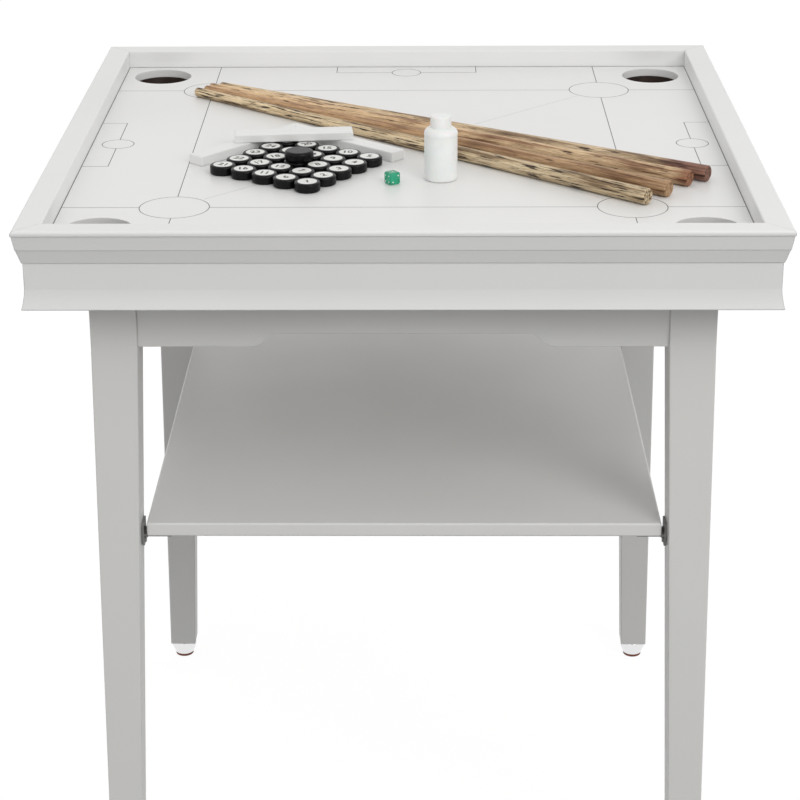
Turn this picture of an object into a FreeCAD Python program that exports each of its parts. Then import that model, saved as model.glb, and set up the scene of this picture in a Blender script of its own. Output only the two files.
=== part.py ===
"""Square game table: a moulded tray top with four corner pockets on a base of four tapered legs,
a lower shelf and levelling feet, with its playing set lying on the board.

Millimetres, +Z up. The origin is on the floor, under the centre of the table. -Y is the front.
Every piece is a separate solid in its own node. The table repeats itself every quarter turn,
so most pieces are built for one side or one corner and turned to the others.
"""
import FreeCAD, Part
import math
import os

Vector = FreeCAD.Vector

# Sizes of the whole table.
outer_width = 750.0
overall_height = 830.0

# The moulded rail round the tray. Setbacks are measured inwards from the outermost face,
# depths downwards from the top of the rim.
rail_height = 82.5
rim_width = 27.0
rim_depth = 21.0
rim_round = 2.0
lip_round = 3.0
lip_height = 5.0
band_setback = 0.9
band_foot_setback = 3.4
band_foot_depth = 20.1
bevel_head_setback = 3.8
bevel_foot_setback = 8.1
bevel_foot_depth = 34.5
fascia_setback = 9.1
fascia_foot_depth = 62.0
flare_hollow = 0.6
flare_foot_setback = 5.7
flare_round = 1.3
groove_depth = 6.0
groove_clearance = 0.2

# The playing board and what stiffens it from below.
board_thickness = 9.0
board_edge_clearance = 0.3
pocket_radius = 34.5
pocket_setback = 47.0
glue_block_clearance = 2.5
glue_block_height = 45.0
batten_thickness = 18.0
batten_clearance = 4.0
stiffener_height = 40.0

# The cup under each pocket.
cup_lip = 0.6
cup_floor_radius = 32.0
cup_depth = 34.0
cup_wall = 2.0
cup_flange_radius = 44.0
cup_flange_thickness = 2.5
cup_screw_circle_radius = 41.0
cup_screw_radius = 1.5
cup_screw_bite = 6.0
cup_screw_head_radius = 2.7
cup_screw_head_height = 1.6
cup_screw_count = 3

# Legs: square at the top. Below the apron the inner faces taper and the outer faces splay a little.
leg_setback = 62.0
leg_splay = 9.0
leg_top_width = 47.0
leg_foot_width = 33.0
leg_round = 1.5
leg_arris_cut = 10.0
foot_height = 22.0

# Aprons with a raised middle.
apron_height = 60.5
apron_thickness = 18.0
apron_setback = 4.0
apron_rise = 14.0
apron_end_length = 112.0
apron_ogee_run = 31.0

# Corner braces, with the bolts that hold the legs.
brace_thickness = 24.0
brace_height = 48.0
brace_screw_inset = 13.0
brace_screw_grip = 8.0
brace_screw_bite = 14.0
brace_screw_radius = 2.0
brace_screw_head_radius = 3.6
brace_screw_head_height = 2.4
brace_screw_spread = 28.0
counterbore_clearance = 0.4
bolt_radius = 4.0
bolt_bite = 30.0
bolt_end = 4.0
bolt_hole_clearance = 0.3
washer_radius = 9.0
washer_thickness = 1.6
nut_flats = 13.0
nut_height = 6.5

# Flat plates that tie the tray's battens to the aprons.
plate_width = 16.0
plate_height = 60.0
plate_thickness = 2.0
plate_inset = 63.0
plate_screw_near = 10.0
plate_screw_far = 22.0
plate_screw_radius = 1.75
plate_screw_bite = 13.0
plate_screw_head_radius = 3.4
plate_screw_head_height = 2.0

# The lower shelf and its brackets.
shelf_top_height = 489.0
shelf_thickness = 15.0
shelf_side_gap = 6.0
shelf_front_setback = 10.5
shelf_round = 2.0
bracket_thickness = 2.5
bracket_width = 20.0
bracket_reach = 32.0
bracket_head_room = 3.0
bracket_drop = 14.0
bracket_round = 3.0
bracket_setback = 23.0
bracket_screw_radius = 1.75
bracket_screw_head_radius = 3.2
bracket_screw_head_height = 1.8
bracket_leg_bite = 14.0
bracket_shelf_bite = 10.0
bracket_leg_screw_spread = 10.0
bracket_leg_screw_drop = 7.5
bracket_shelf_screw_near = 12.0
bracket_shelf_screw_far = 25.0

# Levelling feet.
foot_cap_radius = 16.4
foot_cap_foot_radius = 12.2
foot_cap_bulge_height = 9.5
foot_cap_round = 1.0
pad_height = 4.0
pad_radius = 11.8
pad_round = 1.2
pad_spigot_radius = 3.0
pad_spigot_height = 3.0
stud_radius = 4.0
stud_length = 30.0
stud_room = 3.0
stud_hole_clearance = 0.4
socket_radius = 6.0
socket_length = 25.0
socket_flange_radius = 9.0
socket_flange_thickness = 1.2

# Clearances that serve all pieces.
running_clearance = 0.05
rolling_clearance = 0.3
overrun = 5.0

# The cues of the playing set. The first tip's place is in shares of half the table's width. Each
# further tip is stepped from the one before, along and across that cue, in shares of their pitch.
cue_room = 36.0
cue_tip_radius = 5.4
cue_butt_radius = 8.6
cue_end_round = 1.6
cue_tip_gap = 0.4
cue_tip_shares = (-0.666, 0.550)
cue_step_shares = ((0.0, 0.0), (0.1, 1.25), (-0.25, 1.0), (0.62, 1.0))
cue_degrees = (-41.0, -39.1, -36.2, -34.9)

# The rest of the set. Places on the board are measured from its middle, leftward or rightward and
# forward. Turns are counter-clockwise from the right.
counter_radius = 13.8
counter_height = 10.0
counter_round = 2.2
counter_gap = 0.4
counters_per_side = 5
counters_leftward = 99.9
counters_forward = 174.5
counter_grid_degrees = 56.0
label_radius = 10.2
label_thickness = 0.5
label_clearance = 0.1

striker_radius = 15.6
striker_height = 11.0
striker_round = 3.2
striker_aside = 2.8

rack_arm_length = 145.0
rack_arm_width = 20.0
rack_arm_height = 11.0
rack_round = 1.2
rack_gap = 27.0
rack_gap_degrees = 78.6
rack_degrees = -41.0
rack_bar_length = 130.0
rack_bar_width = 25.0
rack_bar_height = 9.0
rack_bar_forward = 38.2
rack_bar_degrees = 5.5
rack_bar_groove_radius = 3.0
rack_bar_groove_depth = 1.2

die_width = 13.0
die_round = 2.2
die_pip_radius = 1.15
die_pip_depth = 0.45
die_pip_pitch = 3.2
die_leftward = 12.0
die_forward = 150.6
die_degrees = 35.0

bottle_radius = 17.5
bottle_wall = 1.2
bottle_shoulder_height = 47.5
bottle_base_round = 2.5
bottle_neck_radius = 8.0
bottle_neck_base = 56.5
bottle_height = 65.0
powder_room = 2.0
bottle_cap_radius = 11.0
bottle_cap_height = 12.5
bottle_cap_wall = 1.6
bottle_cap_round = 1.2
bottle_rightward = 39.0
bottle_forward = 133.6

# Levels and faces that several pieces share.
half_width = outer_width / 2
board_top = overall_height - rim_depth
board_under = board_top - board_thickness
tray_foot = overall_height - rail_height
rail_inner = half_width - rim_width
apron_foot = tray_foot - apron_height
pocket_offset = rail_inner - pocket_setback
cup_top_radius = pocket_radius + cup_lip
glue_block_leg = (pocket_setback * math.sqrt(2) - cup_flange_radius - glue_block_clearance) * math.sqrt(2)
batten_half = pocket_offset - cup_flange_radius - batten_clearance
plate_offset = batten_half - plate_inset
leg_face_offset = half_width - leg_setback
leg_inner = leg_face_offset - leg_top_width
foot_centre = leg_face_offset + leg_splay - leg_foot_width / 2
apron_outer = leg_face_offset - apron_setback
apron_inner = apron_outer - apron_thickness
apron_step_outer = leg_inner - apron_end_length
apron_step_inner = apron_step_outer - apron_ogee_run
shelf_under = shelf_top_height - shelf_thickness
diagonal = Vector(1, 1, 0).normalize()
arris_distance = (2 * leg_inner + leg_arris_cut) / math.sqrt(2)
brace_inner_distance = arris_distance - brace_thickness
brace_middle = (tray_foot + apron_foot) / 2
cue_length = 2 * rail_inner - cue_room


def box(low, high):
    """A block between two opposite corners."""
    low, high = Vector(*low), Vector(*high)
    size = high - low
    return Part.makeBox(size.x, size.y, size.z, low)


def quarter(shape, turns):
    """The shape turned about the table's upright axis by a number of quarter turns."""
    turned = shape.copy()
    turned.rotate(Vector(0, 0, 0), Vector(0, 0, 1), 90 * turns)
    return turned


def four_times(shape):
    """The shape at all four sides or corners."""
    return [quarter(shape, turns) for turns in range(4)]


def line(start, end):
    """A straight edge."""
    return Part.LineSegment(start, end).toShape()


def arc(start, middle, end):
    """A round edge through three points."""
    return Part.Arc(start, middle, end).toShape()


def prism(points, height):
    """An upright prism on a closed outline of points at one level."""
    face = Part.Face(Part.makePolygon(points + points[:1]))
    return face.extrude(Vector(0, 0, height))


def turned_solid(points):
    """A solid of revolution about Z from (radius, height) points."""
    outline = [Vector(radius, 0, height) for radius, height in points]
    face = Part.Face(Part.makePolygon(outline + outline[:1]))
    return face.revolve(Vector(0, 0, 0), Vector(0, 0, 1), 360)


def upright_edges(shape):
    """The straight edges of a shape that run upwards, or nearly so."""
    found = []
    for edge in shape.Edges:
        ends = [vertex.Point for vertex in edge.Vertexes]
        if len(ends) == 2:
            run = ends[1] - ends[0]
            if abs(run.z) > run.Length / 2:
                found.append(edge)
    return found


def circles(shape, radius, height):
    """The round edges of a turned shape that have this radius and level."""
    found = []
    for edge in shape.Edges:
        if isinstance(edge.Curve, Part.Circle):
            same_radius = abs(edge.Curve.Radius - radius) < running_clearance
            same_level = abs(edge.Curve.Center.z - height) < running_clearance
            if same_radius and same_level:
                found.append(edge)
    return found


def screw(seat, direction, radius, bite, head_radius, head_height):
    """A pan head screw: the seat is the point under its head, on its axis."""
    shank = Part.makeCylinder(radius, bite, seat, direction)
    head = Part.makeCylinder(head_radius, head_height, seat - direction * head_height, direction)
    return shank.fuse(head).removeSplitter()


def screw_hole(seat, direction, radius, bite):
    """The hole that a screw fills, with its clearance."""
    return Part.makeCylinder(radius + running_clearance, bite + running_clearance, seat, direction)


def rail_outline():
    """The section of the front rail, as a closed wire across its length."""
    def at(setback, depth):
        return Vector(0, setback - half_width, overall_height - depth)

    corner = lip_round * (1 - math.sqrt(0.5))
    inner_corner = rim_round * (1 - math.sqrt(0.5))
    foot_corner = flare_round * (1 - math.sqrt(0.5))
    flare_foot_depth = rail_height - flare_round
    flare_middle = at((fascia_setback + flare_foot_setback) / 2 + flare_hollow,
                      (fascia_foot_depth + flare_foot_depth) / 2)
    groove_foot = rim_depth + board_thickness + groove_clearance
    edges = [
        line(at(rim_width - rim_round, 0), at(lip_round, 0)),
        arc(at(lip_round, 0), at(corner, corner), at(0, lip_round)),
        line(at(0, lip_round), at(0, lip_height)),
        line(at(0, lip_height), at(band_setback, lip_height)),
        line(at(band_setback, lip_height), at(band_foot_setback, band_foot_depth)),
        line(at(band_foot_setback, band_foot_depth), at(bevel_head_setback, band_foot_depth)),
        line(at(bevel_head_setback, band_foot_depth), at(bevel_foot_setback, bevel_foot_depth)),
        line(at(bevel_foot_setback, bevel_foot_depth), at(fascia_setback, bevel_foot_depth)),
        line(at(fascia_setback, bevel_foot_depth), at(fascia_setback, fascia_foot_depth)),
        arc(at(fascia_setback, fascia_foot_depth), flare_middle, at(flare_foot_setback, flare_foot_depth)),
        arc(at(flare_foot_setback, flare_foot_depth),
            at(flare_foot_setback + foot_corner, rail_height - foot_corner),
            at(flare_foot_setback + flare_round, rail_height)),
        line(at(flare_foot_setback + flare_round, rail_height), at(rim_width, rail_height)),
        line(at(rim_width, rail_height), at(rim_width, groove_foot)),
        line(at(rim_width, groove_foot), at(rim_width - groove_depth, groove_foot)),
        line(at(rim_width - groove_depth, groove_foot), at(rim_width - groove_depth, rim_depth)),
        line(at(rim_width - groove_depth, rim_depth), at(rim_width, rim_depth)),
        line(at(rim_width, rim_depth), at(rim_width, rim_round)),
        arc(at(rim_width, rim_round), at(rim_width - inner_corner, inner_corner),
            at(rim_width - rim_round, 0)),
    ]
    return Part.Wire(edges)


def front_rail():
    """One moulded rail, mitred at both ends."""
    bar = Part.Face(rail_outline()).extrude(Vector(outer_width, 0, 0))
    bar.translate(Vector(-half_width, 0, 0))
    plan = [Vector(-half_width, -half_width, tray_foot), Vector(half_width, -half_width, tray_foot),
            Vector(rail_inner, -rail_inner, tray_foot), Vector(-rail_inner, -rail_inner, tray_foot)]
    return bar.common(prism(plan, rail_height))


def pocket_places():
    """The centres of the four pockets, at the underside of the board."""
    first = Vector(pocket_offset, pocket_offset, board_under)
    places = []
    for turns in range(4):
        rotation = FreeCAD.Rotation(Vector(0, 0, 1), 90 * turns)
        places.append(rotation.multVec(first))
    return places


def cup_screws(place, make):
    """The screws of one cup, or their holes, from below into the board."""
    seat_level = board_under - cup_flange_thickness
    step = 360 / cup_screw_count
    inward = math.degrees(math.atan2(-place.y, -place.x))
    made = []
    for number in range(cup_screw_count):
        angle = math.radians(inward + step * number)
        seat = Vector(place.x + cup_screw_circle_radius * math.cos(angle),
                      place.y + cup_screw_circle_radius * math.sin(angle), seat_level)
        made.append(make(seat))
    return made


def cup_screw(seat):
    """One screw of a cup."""
    bite = cup_flange_thickness + cup_screw_bite
    return screw(seat, Vector(0, 0, 1), cup_screw_radius, bite, cup_screw_head_radius,
                 cup_screw_head_height)


def cup_screw_hole(seat):
    """The hole of one screw of a cup."""
    return screw_hole(seat, Vector(0, 0, 1), cup_screw_radius, cup_flange_thickness + cup_screw_bite)


def playing_board():
    """The board, held in the rails' grooves, with its four pocket holes."""
    reach = rail_inner + groove_depth - board_edge_clearance
    board = box((-reach, -reach, board_under), (reach, reach, board_top))
    holes = []
    for place in pocket_places():
        start = place - Vector(0, 0, overrun)
        holes.append(Part.makeCylinder(pocket_radius, board_thickness + 2 * overrun, start))
        holes += cup_screws(place, cup_screw_hole)
    return board.cut(holes)


def pocket_cup(place):
    """A moulded cup with a flange, screwed up under the board."""
    top = board_under
    floor = board_under - cup_depth
    outer_top = cup_top_radius + cup_wall
    outer_floor = cup_floor_radius + cup_wall
    cup = turned_solid([
        (0, floor - cup_wall), (outer_floor, floor - cup_wall),
        (outer_top, top - cup_flange_thickness), (cup_flange_radius, top - cup_flange_thickness),
        (cup_flange_radius, top), (cup_top_radius, top), (cup_floor_radius, floor), (0, floor)])
    cup.translate(Vector(place.x, place.y, 0))
    return cup.cut(cup_screws(place, cup_screw_hole))


def glue_block():
    """A three-cornered block behind a mitre, glued to two rails and the board."""
    foot = board_under - glue_block_height
    corner = Vector(rail_inner, rail_inner, foot)
    points = [corner, corner - Vector(glue_block_leg, 0, 0), corner - Vector(0, glue_block_leg, 0)]
    return prism(points, glue_block_height)


def front_batten():
    """The batten under the board that stands on the front apron."""
    batten = box((-batten_half, -apron_outer, tray_foot),
                 (batten_half, batten_thickness - apron_outer, board_under))
    return batten.cut(plate_screw_holes())


def stiffener(side):
    """A bar on edge under the board, between the middles of the front and back battens' halves."""
    reach = apron_outer - batten_thickness
    centre = side * batten_half / 2
    half = batten_thickness / 2
    return box((centre - half, -reach, board_under - stiffener_height), (centre + half, reach, board_under))


def leg_faces_at(level):
    """How far a leg's inner and outer faces are from the middle, at a level on its taper."""
    share = (apron_foot - level) / (apron_foot - foot_height)
    width = leg_top_width - (leg_top_width - leg_foot_width) * share
    outer = leg_face_offset + leg_splay * share
    return outer - width, outer


def leg_square(level):
    """The outline of a leg at one level."""
    inner, outer = leg_faces_at(level)
    corners = [(inner, inner), (outer, inner), (outer, outer), (inner, outer)]
    points = [Vector(x, y, level) for x, y in corners]
    return Part.makePolygon(points + points[:1])


def brace_bolt_hole(radius, start, end):
    """A hole along the diagonal at the middle of the brace."""
    base = diagonal * start + Vector(0, 0, brace_middle)
    return Part.makeCylinder(radius, end - start, base, diagonal)


def corner_leg():
    """A leg at the +X +Y corner."""
    tapered = Part.makeLoft([leg_square(apron_foot), leg_square(foot_height)], True, True)
    top = box((leg_inner, leg_inner, apron_foot), (leg_face_offset, leg_face_offset, tray_foot))
    leg = top.fuse(tapered).removeSplitter()
    leg = leg.makeFillet(leg_round, upright_edges(leg))
    reach = leg_inner + leg_arris_cut
    corner = [Vector(leg_inner - overrun, leg_inner - overrun, apron_foot),
              Vector(reach + overrun, leg_inner - overrun, apron_foot),
              Vector(leg_inner - overrun, reach + overrun, apron_foot)]
    arris = prism(corner, apron_height + overrun)
    bolt_hole = brace_bolt_hole(bolt_radius + running_clearance, arris_distance - overrun,
                                arris_distance + bolt_bite + running_clearance)
    foot = Vector(foot_centre, foot_centre, foot_height)
    socket_hole = Part.makeCylinder(socket_radius + running_clearance,
                                    socket_length + running_clearance, foot)
    flange_hole = Part.makeCylinder(socket_flange_radius + running_clearance,
                                    socket_flange_thickness, foot)
    stud_hole = Part.makeCylinder(stud_radius + stud_hole_clearance, stud_length + stud_room, foot)
    holes = [arris, bolt_hole, socket_hole, flange_hole, stud_hole] + bracket_leg_screw_holes()
    return leg.cut(holes)


def apron_outline():
    """The outline of the front apron: a raised middle between two low ends, joined by ogees."""
    outer_face = -apron_outer
    high = apron_foot + apron_rise
    run = (apron_step_outer - apron_step_inner) / 2
    drop = apron_rise / 2
    bend = (run * run + drop * drop) / (2 * drop)
    half_turn = math.atan2(run, bend - drop) / 2
    side = bend * math.sin(half_turn)
    sag = bend * (1 - math.cos(half_turn))
    middle = (apron_step_outer + apron_step_inner) / 2

    def at(x, z):
        return Vector(x, outer_face, z)

    edges = [line(at(-leg_inner, tray_foot), at(leg_inner, tray_foot)),
             line(at(leg_inner, tray_foot), at(leg_inner, apron_foot)),
             line(at(leg_inner, apron_foot), at(apron_step_outer, apron_foot)),
             arc(at(apron_step_outer, apron_foot), at(apron_step_outer - side, apron_foot + sag),
                 at(middle, apron_foot + drop)),
             arc(at(middle, apron_foot + drop), at(apron_step_inner + side, high - sag),
                 at(apron_step_inner, high)),
             line(at(apron_step_inner, high), at(-apron_step_inner, high)),
             arc(at(-apron_step_inner, high), at(-apron_step_inner - side, high - sag),
                 at(-middle, apron_foot + drop)),
             arc(at(-middle, apron_foot + drop), at(-apron_step_outer + side, apron_foot + sag),
                 at(-apron_step_outer, apron_foot)),
             line(at(-apron_step_outer, apron_foot), at(-leg_inner, apron_foot)),
             line(at(-leg_inner, apron_foot), at(-leg_inner, tray_foot))]
    return Part.Wire(edges)


def front_apron():
    """The front apron, between two legs."""
    apron = Part.Face(apron_outline()).extrude(Vector(0, apron_thickness, 0))
    holes = plate_screw_holes()
    for turns in range(4):
        for hole in brace_screw_holes():
            turned = quarter(hole, turns)
            if turned.BoundBox.YMin < -apron_inner:
                holes.append(turned)
    return apron.cut(holes)


def brace_screw_seats():
    """The seats and directions of the four screws of the brace at the +X +Y corner."""
    inner_sum = brace_inner_distance * math.sqrt(2)
    along = inner_sum - apron_inner + brace_screw_inset
    seats = []
    for level in (brace_middle - brace_screw_spread / 2, brace_middle + brace_screw_spread / 2):
        seat = apron_inner - brace_screw_grip
        seats.append((Vector(seat, along, level), Vector(1, 0, 0)))
        seats.append((Vector(along, seat, level), Vector(0, 1, 0)))
    return seats


def brace_screw_holes():
    """The holes of the brace's screws."""
    bite = brace_screw_grip + brace_screw_bite
    return [screw_hole(seat, way, brace_screw_radius, bite) for seat, way in brace_screw_seats()]


def brace_screws():
    """The screws of one brace."""
    bite = brace_screw_grip + brace_screw_bite
    made = []
    for seat, way in brace_screw_seats():
        made.append(screw(seat, way, brace_screw_radius, bite, brace_screw_head_radius,
                          brace_screw_head_height))
    return made


def corner_brace():
    """The block across a corner, screwed to two aprons; the leg's bolt passes through it."""
    outer_sum = arris_distance * math.sqrt(2)
    inner_sum = brace_inner_distance * math.sqrt(2)
    foot = brace_middle - brace_height / 2
    points = [Vector(apron_inner, outer_sum - apron_inner, foot),
              Vector(outer_sum - apron_inner, apron_inner, foot),
              Vector(inner_sum - apron_inner, apron_inner, foot),
              Vector(apron_inner, inner_sum - apron_inner, foot)]
    brace = prism(points, brace_height)
    holes = brace_screw_holes()
    for seat, way in brace_screw_seats():
        holes.append(Part.makeCylinder(brace_screw_head_radius + counterbore_clearance,
                                       brace_thickness, seat - way * brace_thickness, way))
    holes.append(brace_bolt_hole(bolt_radius + bolt_hole_clearance,
                                 brace_inner_distance - overrun, arris_distance + overrun))
    return brace.cut(holes)


def hanger_bolt():
    """The bolt screwed into the leg, with its plain end through the brace."""
    start = brace_inner_distance - washer_thickness - nut_height - bolt_end
    return brace_bolt_hole(bolt_radius, start, arris_distance + bolt_bite)


def hanger_washer():
    """The washer under the nut."""
    start = brace_inner_distance - washer_thickness
    disc = brace_bolt_hole(washer_radius, start, brace_inner_distance)
    return disc.cut(brace_bolt_hole(bolt_radius + bolt_hole_clearance, start - overrun,
                                    brace_inner_distance + overrun))


def hanger_nut():
    """The six-sided nut on the bolt."""
    radius = nut_flats / math.sqrt(3)
    points = []
    for number in range(6):
        angle = math.radians(60 * number)
        points.append(Vector(radius * math.cos(angle), radius * math.sin(angle), 0))
    nut = prism(points, nut_height)
    nut.Placement = FreeCAD.Placement(Vector(0, 0, 0), FreeCAD.Rotation(Vector(0, 0, 1), diagonal))
    start = brace_inner_distance - washer_thickness - nut_height
    nut.translate(diagonal * start + Vector(0, 0, brace_middle))
    return nut.cut(brace_bolt_hole(bolt_radius + running_clearance, start - overrun,
                                   start + nut_height + overrun))


def plate_screw_seats():
    """The seats of the screws of the two plates at the front, on the plates' inner faces."""
    face = plate_thickness - apron_inner
    levels = []
    for reach in (plate_screw_near, plate_screw_far):
        levels += [tray_foot - reach, tray_foot + reach]
    return [Vector(side * plate_offset, face, level) for side in (-1, 1) for level in levels]


def plate_screw_holes():
    """The holes of the plates' screws, for the front."""
    bite = plate_thickness + plate_screw_bite
    return [screw_hole(seat, Vector(0, -1, 0), plate_screw_radius, bite) for seat in plate_screw_seats()]


def plate_screws():
    """The screws of the two plates at the front."""
    made = []
    for seat in plate_screw_seats():
        made.append(screw(seat, Vector(0, -1, 0), plate_screw_radius, plate_thickness + plate_screw_bite,
                          plate_screw_head_radius, plate_screw_head_height))
    return made


def tray_plates():
    """Two flat plates at the front that tie the batten to the apron."""
    made = []
    for side in (-1, 1):
        centre = side * plate_offset
        plate = box((centre - plate_width / 2, -apron_inner, tray_foot - plate_height / 2),
                    (centre + plate_width / 2, plate_thickness - apron_inner, tray_foot + plate_height / 2))
        made.append(plate.cut(plate_screw_holes()))
    return made


def leg_face_at_bracket():
    """How far the inner face of a leg is from the middle, at the top of a bracket."""
    inner, outer = leg_faces_at(shelf_top_height - bracket_head_room)
    return inner


def shelf():
    """The lower shelf, between the legs, with softened edges."""
    inner, outer = leg_faces_at(shelf_top_height)
    side = inner - shelf_side_gap
    front = outer - shelf_front_setback
    board = box((-side, -front, shelf_under), (side, front, shelf_top_height))
    board = board.makeFillet(shelf_round, board.Edges)
    holes = []
    for mirror_x in (-1, 1):
        for mirror_y in (-1, 1):
            for hole in bracket_shelf_screw_holes():
                holes.append(mirrored(hole, mirror_x, mirror_y))
    return board.cut(holes)


def mirrored(shape, side_x, side_y):
    """The shape of the +X +Y corner, carried to another corner by mirroring."""
    result = shape
    if side_x < 0:
        result = result.mirror(Vector(0, 0, 0), Vector(1, 0, 0))
    if side_y < 0:
        result = result.mirror(Vector(0, 0, 0), Vector(0, 1, 0))
    return result


def bracket_leg_screw_seats():
    """The seats of the two screws that hold a bracket to the leg at the +X +Y corner."""
    face = leg_face_at_bracket() - bracket_thickness
    middle = leg_face_offset - bracket_setback
    level = shelf_under - bracket_leg_screw_drop
    half = bracket_leg_screw_spread / 2
    return [Vector(face, middle - half, level), Vector(face, middle + half, level)]


def bracket_shelf_screw_seats():
    """The seats of the two screws that hold the shelf to the bracket at the +X +Y corner."""
    middle = leg_face_offset - bracket_setback
    level = shelf_under - bracket_thickness
    places = []
    for reach in (bracket_shelf_screw_near, bracket_shelf_screw_far):
        places.append(Vector(leg_face_at_bracket() - reach, middle, level))
    return places


def bracket_leg_screw_holes():
    """The holes of the screws into the leg."""
    bite = bracket_thickness + bracket_leg_bite
    seats = bracket_leg_screw_seats()
    holes = [screw_hole(seat, Vector(1, 0, 0), bracket_screw_radius, bite) for seat in seats]
    return holes


def bracket_shelf_screw_holes():
    """The holes of the screws into the shelf."""
    bite = bracket_thickness + bracket_shelf_bite
    seats = bracket_shelf_screw_seats()
    return [screw_hole(seat, Vector(0, 0, 1), bracket_screw_radius, bite) for seat in seats]


def corner_bracket():
    """A pressed steel bracket: an upright on the leg with a tab under the shelf."""
    face = leg_face_at_bracket()
    middle = leg_face_offset - bracket_setback
    half = bracket_width / 2
    upright = box((face - bracket_thickness, middle - half, shelf_under - bracket_drop),
                  (face, middle + half, shelf_top_height - bracket_head_room))
    tab = box((face - bracket_reach, middle - half, shelf_under - bracket_thickness),
              (face, middle + half, shelf_under))
    bracket = upright.fuse(tab).removeSplitter()
    ends = []
    for edge in bracket.Edges:
        centre = edge.CenterOfMass
        low_end = abs(centre.z - shelf_under + bracket_drop) < running_clearance
        far_end = abs(centre.x - face + bracket_reach) < running_clearance
        on_side = abs(abs(centre.y - middle) - half) < running_clearance
        if on_side and (low_end or far_end) and abs(edge.Length - bracket_thickness) < running_clearance:
            ends.append(edge)
    bracket = bracket.makeFillet(bracket_round, ends)
    return bracket.cut(bracket_leg_screw_holes() + bracket_shelf_screw_holes())


def bracket_screws():
    """The four screws of one bracket."""
    made = []
    for seat in bracket_leg_screw_seats():
        bite = bracket_thickness + bracket_leg_bite
        made.append(screw(seat, Vector(1, 0, 0), bracket_screw_radius, bite,
                          bracket_screw_head_radius, bracket_screw_head_height))
    for seat in bracket_shelf_screw_seats():
        bite = bracket_thickness + bracket_shelf_bite
        made.append(screw(seat, Vector(0, 0, 1), bracket_screw_radius, bite,
                          bracket_screw_head_radius, bracket_screw_head_height))
    return made


def corner_places():
    """The centres of the four feet, in the order of the four corners."""
    first = Vector(foot_centre, foot_centre, 0)
    return [FreeCAD.Rotation(Vector(0, 0, 1), 90 * turns).multVec(first) for turns in range(4)]


def foot_socket(place):
    """The threaded socket in the end of a leg."""
    top = foot_height + socket_length
    flange = foot_height + socket_flange_thickness
    bore = stud_radius + running_clearance
    socket = turned_solid([(bore, foot_height), (socket_flange_radius, foot_height),
                           (socket_flange_radius, flange), (socket_radius, flange),
                           (socket_radius, top), (bore, top)])
    socket.translate(place)
    return socket


def levelling_foot(place):
    """The turned and plated foot: a rounded cap with its stud."""
    cap = turned_solid([(0, pad_height), (foot_cap_foot_radius, pad_height),
                        (foot_cap_radius, pad_height + foot_cap_bulge_height),
                        (foot_cap_radius, foot_height), (0, foot_height)])
    shoulder = circles(cap, foot_cap_radius, pad_height + foot_cap_bulge_height)
    cap = cap.makeFillet(foot_cap_bulge_height, shoulder)
    cap = cap.makeFillet(foot_cap_round, circles(cap, foot_cap_radius, foot_height))
    stud = Part.makeCylinder(stud_radius, stud_length, Vector(0, 0, foot_height))
    foot = cap.fuse(stud).removeSplitter()
    recess = Part.makeCylinder(pad_spigot_radius + running_clearance,
                               pad_spigot_height + running_clearance, Vector(0, 0, pad_height))
    foot = foot.cut(recess)
    foot.translate(place)
    return foot


def foot_pad(place):
    """The soft pad that stands on the floor, held by its spigot in the cap."""
    pad = Part.makeCylinder(pad_radius, pad_height)
    pad = pad.makeFillet(pad_round, circles(pad, pad_radius, 0))
    spigot = Part.makeCylinder(pad_spigot_radius, pad_spigot_height, Vector(0, 0, pad_height))
    pad = pad.fuse(spigot).removeSplitter()
    pad.translate(place)
    return pad


def on_board(rightward, forward):
    """A point on the board's top, from its distances to the right of the middle and in front of it."""
    return Vector(rightward, -forward, board_top)


def in_plan(degrees):
    """The level direction at an angle from the right."""
    return Vector(math.cos(math.radians(degrees)), math.sin(math.radians(degrees)), 0)


def cue_lines():
    """Each cue's tip on the board, and its direction in plan."""
    pitch = 2 * cue_tip_radius + cue_tip_gap
    place = on_board(half_width * cue_tip_shares[0], -half_width * cue_tip_shares[1])
    along = across = Vector(0, 0, 0)
    lines = []
    for degrees, (ahead, aside) in zip(cue_degrees, cue_step_shares):
        place = place + along * (pitch * ahead) + across * (pitch * aside)
        along, across = in_plan(degrees), in_plan(degrees + 90)
        lines.append((place, along))
    return lines


def cue(place, along):
    """A tapered wooden cue lying on the board, its ends softened."""
    outline = [(0, 0), (cue_tip_radius, 0), (cue_butt_radius, cue_length), (0, cue_length)]
    stick = turned_solid(outline)
    rims = circles(stick, cue_tip_radius, 0) + circles(stick, cue_butt_radius, cue_length)
    stick = stick.makeFillet(cue_end_round, rims)
    tip = place + Vector(0, 0, rolling_clearance + cue_tip_radius)
    direction = along * cue_length + Vector(0, 0, cue_butt_radius - cue_tip_radius)
    stick.Placement = FreeCAD.Placement(tip, FreeCAD.Rotation(Vector(0, 0, 1), direction))
    return stick


def counter_places():
    """The centres of the racked counters, in a square grid turned on the board."""
    pitch = 2 * counter_radius + counter_gap
    along = in_plan(counter_grid_degrees) * pitch
    across = in_plan(counter_grid_degrees + 90) * pitch
    front = on_board(-counters_leftward, counters_forward)
    steps = range(counters_per_side)
    return [front + along * i + across * j for j in steps for i in steps]


def counter(place):
    """A round counter with rounded rims and a shallow seat for its label."""
    disc = Part.makeCylinder(counter_radius, counter_height)
    rims = circles(disc, counter_radius, 0) + circles(disc, counter_radius, counter_height)
    disc = disc.makeFillet(counter_round, rims)
    seat = Part.makeCylinder(label_radius + label_clearance, label_thickness,
                             Vector(0, 0, counter_height - label_thickness))
    disc = disc.cut(seat)
    disc.translate(place)
    return disc


def counter_label(place):
    """The round label set into the top of a counter."""
    level = Vector(0, 0, counter_height - label_thickness)
    return Part.makeCylinder(label_radius, label_thickness, place + level)


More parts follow.
